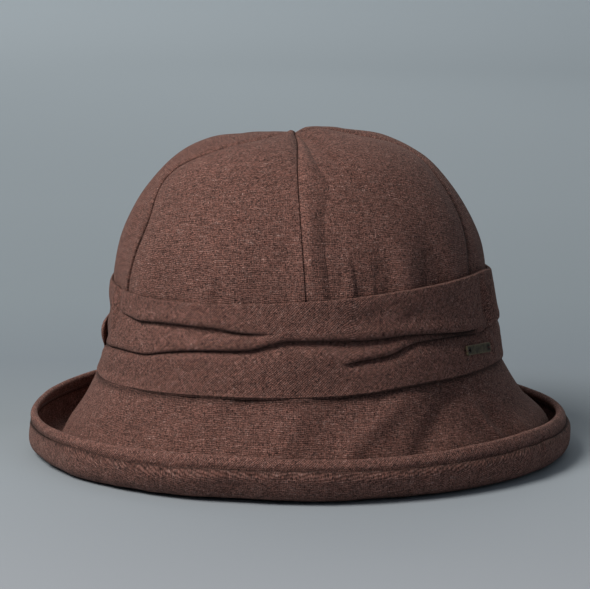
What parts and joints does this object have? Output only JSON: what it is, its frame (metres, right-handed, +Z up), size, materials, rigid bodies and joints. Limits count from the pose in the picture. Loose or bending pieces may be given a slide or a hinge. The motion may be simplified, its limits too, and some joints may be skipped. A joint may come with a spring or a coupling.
{
  "type": "rolled-brim hat",
  "caption": "Soft linen hat with a domed gored crown, a pleated band with a bare metal plate, and a flared brim that rolls up into a bound edge.",
  "frame": {"origin": "on the surface that the hat rests on, under the middle of its box", "axes": "+Z up through the crown, -Y towards the hat's front, +X towards the side with the plate"},
  "size_m": [0.2708, 0.2708, 0.161],
  "materials": {
    "crown_linen": "brown slubby linen, plain weave, matt",
    "brim_linen": "brown slubby linen, plain weave, matt",
    "binding_linen": "brown linen strip, folded over and sewn down",
    "band_linen": "brown linen cut on the bias, matt",
    "aged_brass": "aged dark brass, brushed and worn at its edges"
  },
  "bodies": {
    "root": {"crown_gore_front_right": "crown_linen", "crown_gore_side_right": "crown_linen", "crown_gore_back_right": "crown_linen", "crown_gore_back_left": "crown_linen", "crown_gore_side_left": "crown_linen", "crown_gore_front_left": "crown_linen", "brim": "brim_linen", "brim_binding": "binding_linen", "hat_band": "band_linen", "badge_plate": "aged_brass"}
  },
  "joints": []
}
